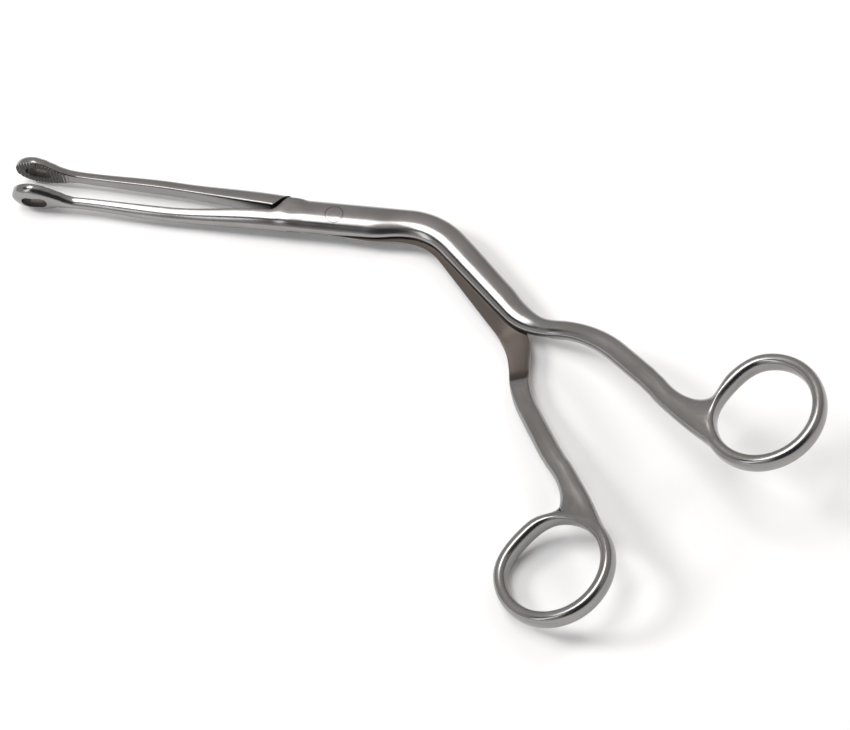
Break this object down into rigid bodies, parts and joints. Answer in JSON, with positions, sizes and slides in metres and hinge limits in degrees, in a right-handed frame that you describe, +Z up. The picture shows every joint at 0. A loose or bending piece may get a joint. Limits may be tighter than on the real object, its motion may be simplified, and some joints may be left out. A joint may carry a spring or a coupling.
{
  "type": "magill forceps",
  "caption": "Angled steel forceps with crossed arms on a flush pivot screw, fenestrated serrated oval jaws and two raised finger rings.",
  "frame": {"origin": "point on the table straight below the middle of the pivot, with the forceps lying as pictured", "axes": "+Z up from the table, -X along the jaws towards their tips, -Y towards the finger rings' side"},
  "size_m": [0.233, 0.1213, 0.0325],
  "materials": {
    "satin_steel": "satin",
    "screw_steel": "satin"
  },
  "bodies": {
    "lower": {"lower_arm": "satin_steel"},
    "upper": {"upper_arm": "satin_steel", "pivot_screw": "screw_steel"}
  },
  "joints": [
    {"name": "pivot", "type": "hinge", "parent": "lower", "child": "upper", "pos_m": [0, 0, 0.0049], "axis": [0.0052, -0.0558, 0.9984], "range_deg": [-4, 30]}
  ]
}
